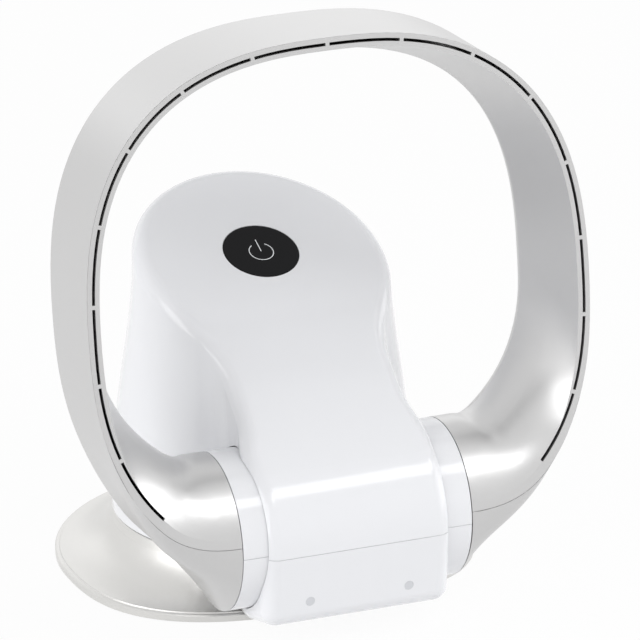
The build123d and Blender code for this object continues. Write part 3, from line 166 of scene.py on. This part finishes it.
def edge_wear():
    """A colour that turns to another along edges, where the surface is pointed."""
    group, start, end = new_group(
        "edge wear",
        [("Colour", "NodeSocketColor", (1, 1, 1, 1)),
         ("Edge Colour", "NodeSocketColor", (1, 1, 1, 1)),
         ("Pointiness", "NodeSocketFloat", 0.5),
         ("Amount", "NodeSocketFloat", EDGE_AMOUNT)],
        [("Colour", "NodeSocketColor")])
    edge = group.nodes.new("ShaderNodeMapRange")
    edge.inputs["From Min"].default_value = EDGE_START
    edge.inputs["From Max"].default_value = EDGE_FULL
    group.links.new(start.outputs["Pointiness"], edge.inputs["Value"])
    share = calculate(group, "MULTIPLY", edge.outputs["Result"], start.outputs["Amount"])
    mix = group.nodes.new("ShaderNodeMix")
    mix.data_type = "RGBA"
    group.links.new(share, mix.inputs["Factor"])
    group.links.new(start.outputs["Colour"], mix.inputs[MIX_A])
    group.links.new(start.outputs["Edge Colour"], mix.inputs[MIX_B])
    group.links.new(mix.outputs[MIX_RESULT], end.inputs["Colour"])
    return group


VARIATION = surface_variation()
GRAIN = fine_grain()
WEAR = edge_wear()


# ---- finishes ---------------------------------------------------------------------
def place_group(nodes, group, values):
    """A group's node in a material, with that material's own values."""
    node = nodes.new("ShaderNodeGroup")
    node.node_tree = group
    for label, value in values.items():
        node.inputs[label].default_value = value
    return node


def finish(name, colour, roughness, swing=0.04, tone=0.015, scale=30.0, metallic=0.0,
           specular=0.5, grain=0.0, grain_scale=1500.0, edge=None):
    """One material: varied colour and roughness, and where asked a grain and worn edges."""
    material = bpy.data.materials.new(name)
    material.use_nodes = True
    nodes, links = material.node_tree.nodes, material.node_tree.links
    shader = nodes["Principled BSDF"]
    place = nodes.new("ShaderNodeTexCoord")
    varied = place_group(nodes, VARIATION, {
        "Scale": scale, "Base Roughness": roughness, "Roughness Swing": swing,
        "Colour": (*colour, 1.0), "Tone Swing": tone})
    links.new(place.outputs["Object"], varied.inputs["Coordinates"])
    links.new(varied.outputs["Roughness"], shader.inputs["Roughness"])
    shown = varied.outputs["Colour"]
    if edge:
        geometry = nodes.new("ShaderNodeNewGeometry")
        worn = place_group(nodes, WEAR, {"Edge Colour": (*edge, 1.0), "Amount": EDGE_AMOUNT})
        links.new(geometry.outputs["Pointiness"], worn.inputs["Pointiness"])
        links.new(shown, worn.inputs["Colour"])
        shown = worn.outputs["Colour"]
    links.new(shown, shader.inputs["Base Color"])
    if grain:
        fine = place_group(nodes, GRAIN, {"Scale": grain_scale, "Depth": grain})
        links.new(place.outputs["Object"], fine.inputs["Coordinates"])
        bump = nodes.new("ShaderNodeBump")
        bump.inputs["Distance"].default_value = GRAIN_UNIT
        links.new(fine.outputs["Height"], bump.inputs["Height"])
        links.new(bump.outputs["Normal"], shader.inputs["Normal"])
    shader.inputs["Metallic"].default_value = metallic
    shader.inputs["Specular IOR Level"].default_value = specular
    return material


FINISHES = {
    "gloss_white": finish("gloss white plastic", (0.855, 0.862, 0.888), 0.12,
                          swing=0.03, tone=0.01),
    "pearl_base": finish("pearl base paint", (0.68, 0.674, 0.657), 0.34, metallic=0.7,
                         grain=0.000004, grain_scale=2500.0),
    "silver_ring": finish("satin silver paint", (0.592, 0.590, 0.590), 0.33, metallic=0.8,
                          grain=0.000004, grain_scale=2500.0),
    "key_black": finish("gloss black key", (0.004, 0.004, 0.005), 0.06,
                        swing=0.02, specular=0.10),
    "plug_grey": finish("plug grey plastic", (0.66, 0.67, 0.70), 0.35),
    "dark_plastic": finish("dark moulded plastic", (0.035, 0.035, 0.037), 0.5, grain=0.00002),
    "inner_plastic": finish("inner dark plastic", (0.02, 0.02, 0.022), 0.5, grain=0.00002),
    "gear_plastic": finish("natural acetal", (0.72, 0.70, 0.62), 0.4),
    "foot_rubber": finish("foot rubber", (0.012, 0.012, 0.012), 0.8,
                          grain=0.00003, grain_scale=900.0),
    "screw_steel": finish("zinc plated steel", (0.55, 0.55, 0.57), 0.32, metallic=1.0),
    "spindle_steel": finish("turned steel", (0.45, 0.45, 0.47), 0.28, metallic=1.0,
                            grain=0.000006),
    "bearing_steel": finish("polished steel", (0.6, 0.6, 0.62), 0.15, metallic=1.0),
    "motor_metal": finish("plain aluminium", (0.55, 0.55, 0.57), 0.35, metallic=1.0),
    "weight_iron": finish("plain iron", (0.09, 0.085, 0.08), 0.6, metallic=0.8,
                          grain=0.00004, grain_scale=700.0, edge=(0.25, 0.24, 0.23)),
    "board_green": finish("board solder resist", (0.01, 0.09, 0.035), 0.3,
                          tone=0.1, scale=200.0),
    "copper": finish("copper windings", (0.55, 0.22, 0.10), 0.35, metallic=1.0, scale=300.0),
    "black_socket": finish("black socket plastic", (0.01, 0.01, 0.01), 0.4),
}
KEY_PRINT = finish("white key print", (0.86, 0.88, 0.90), 0.35)

for row in frame["record"]["subparts"]:
    node = frame["nodes"][row["node"]]
    node.data.materials.clear()
    node.data.materials.append(FINISHES[row["material_slot"]])


# ---- modelling the symbol ---------------------------------------------------------
def deselect():
    """Nothing is selected, so that the next tool acts on its own piece alone."""
    for other in list(bpy.context.selected_objects):
        other.select_set(False)


def edit(piece):
    """Opens one piece for editing with nothing in it selected."""
    bpy.context.view_layer.objects.active = piece
    bpy.ops.object.mode_set(mode="EDIT")
    bpy.ops.mesh.select_all(action="DESELECT")


def delete_faces(piece, wanted):
    """Deletes the open piece's faces whose middle passes a test."""
    bpy.ops.mesh.select_mode(type="FACE")
    bpy.ops.object.mode_set(mode="OBJECT")
    for face in piece.data.polygons:
        face.select = wanted(face.center)
    bpy.ops.object.mode_set(mode="EDIT")
    bpy.ops.mesh.delete(type="FACE")


def inside_ring(middle):
    """Whether a place on the symbol lies well inside its ring."""
    return math.hypot(middle.x, middle.y) < SYMBOL_R / 2


def in_top_gap(middle):
    """Whether a place on the symbol lies in the ring's opening at the top."""
    return abs(math.degrees(math.atan2(middle.x, middle.y))) < SYMBOL_GAP


def power_symbol():
    """The printed ring with its open top and upright bar, laid on the slanted key."""
    deselect()
    bpy.ops.mesh.primitive_circle_add(vertices=SYMBOL_SIDES, radius=SYMBOL_R + STROKE / 2,
                                      fill_type="NGON")
    piece = bpy.context.object
    piece.name = "power_symbol"
    edit(piece)
    bpy.ops.mesh.select_all(action="SELECT")
    bpy.ops.mesh.inset(thickness=STROKE)
    delete_faces(piece, inside_ring)
    delete_faces(piece, in_top_gap)
    bpy.ops.mesh.select_all(action="SELECT")
    bpy.ops.transform.translate(value=(0, -SYMBOL_DROP, 0))
    bpy.ops.mesh.select_all(action="DESELECT")
    bar_middle = (0, (BAR_LOW + BAR_HIGH) / 2, 0)
    bpy.ops.mesh.primitive_plane_add(size=1.0, location=bar_middle)
    bpy.ops.transform.resize(value=(STROKE, BAR_HIGH - BAR_LOW, 1), center_override=bar_middle)
    bpy.ops.mesh.bevel(offset=STROKE * BAR_ROUNDING, segments=BAR_CORNER_STEPS,
                       affect="VERTICES")
    bpy.ops.object.mode_set(mode="OBJECT")
    thick = piece.modifiers.new("print", "SOLIDIFY")
    thick.thickness = PRINT_HEIGHT
    thick.offset = 1.0
    bpy.ops.object.modifier_apply(modifier=thick.name)
    tilt = math.radians(KEY_TILT)
    piece.rotation_euler = (tilt, 0, 0)
    piece.location = (KEY_CENTRE[0], KEY_CENTRE[1] - KEY_PROUD * math.sin(tilt),
                      KEY_CENTRE[2] + KEY_PROUD * math.cos(tilt))
    bpy.ops.object.transform_apply(location=True, rotation=True, scale=True)
    piece.data.materials.append(KEY_PRINT)
    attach(piece, "key")


power_symbol()


# ---- the studio -------------------------------------------------------------------
def seen_share(tree):
    """A value that is 1 for what the camera, a reflection or glass sees, and 0 for light."""
    path = tree.nodes.new("ShaderNodeLightPath")
    direct = calculate(tree, "MAXIMUM", path.outputs["Is Camera Ray"],
                       path.outputs["Is Glossy Ray"])
    return calculate(tree, "MAXIMUM", direct, path.outputs["Is Transmission Ray"])


def studio_world():
    """A white surround that is seen at full strength and lights more softly."""
    world = bpy.data.worlds.new("studio")
    bpy.context.scene.world = world
    world.use_nodes = True
    nodes, links = world.node_tree.nodes, world.node_tree.links
    strength = nodes.new("ShaderNodeMapRange")
    strength.inputs["To Min"].default_value = SKY_LIGHT
    strength.inputs["To Max"].default_value = SKY_SEEN
    links.new(seen_share(world.node_tree), strength.inputs["Value"])
    sky = nodes["Background"]
    sky.inputs["Color"].default_value = (1, 1, 1, 1)
    links.new(strength.outputs["Result"], sky.inputs["Strength"])


def studio_floor():
    """A pale floor that is seen nearly white and still holds the shadow."""
    deselect()
    bpy.ops.mesh.primitive_plane_add(size=FLOOR_SIZE, location=(0, 0, 0))
    floor = bpy.context.object
    floor.name = "floor"
    paint = bpy.data.materials.new("pale floor")
    paint.use_nodes = True
    nodes, links = paint.node_tree.nodes, paint.node_tree.links
    matt = nodes["Principled BSDF"]
    matt.inputs["Base Color"].default_value = FLOOR_COLOUR
    matt.inputs["Roughness"].default_value = FLOOR_ROUGHNESS
    glow = nodes.new("ShaderNodeEmission")
    mix = nodes.new("ShaderNodeMixShader")
    white = calculate(paint.node_tree, "MULTIPLY", seen_share(paint.node_tree), FLOOR_WHITE)
    links.new(white, mix.inputs[0])
    links.new(matt.outputs[0], mix.inputs[1])
    links.new(glow.outputs[0], mix.inputs[2])
    links.new(mix.outputs[0], nodes["Material Output"].inputs["Surface"])
    floor.data.materials.append(paint)


def lamp(name, at, size, power):
    """A soft rectangular lamp, aimed at the fan and itself unseen by the camera."""
    data = bpy.data.lights.new(name, "AREA")
    data.shape = "RECTANGLE"
    data.size, data.size_y = size
    data.energy = power
    holder = bpy.data.objects.new(name, data)
    bpy.context.collection.objects.link(holder)
    holder.location = at
    way = Vector(LAMP_AIM) - Vector(at)
    holder.rotation_euler = way.to_track_quat("-Z", "Y").to_euler()
    holder.visible_camera = False


def studio_camera():
    """The long-lens camera at the photograph's viewing angle."""
    data = bpy.data.cameras.new("camera")
    data.lens = CAMERA_LENS
    data.sensor_width = CAMERA_SENSOR
    data.clip_end = CAMERA_REACH
    camera = bpy.data.objects.new("camera", data)
    bpy.context.collection.objects.link(camera)
    camera.location = CAMERA_AT
    tip = math.radians(90 - CAMERA_ELEVATION)
    camera.rotation_euler = (tip, 0, math.radians(CAMERA_AZIMUTH))
    bpy.context.scene.camera = camera


studio_world()
studio_floor()
for name, at, size, power in LAMPS:
    lamp(name, at, size, power)
studio_camera()
bpy.context.scene.view_settings.view_transform = "Standard"
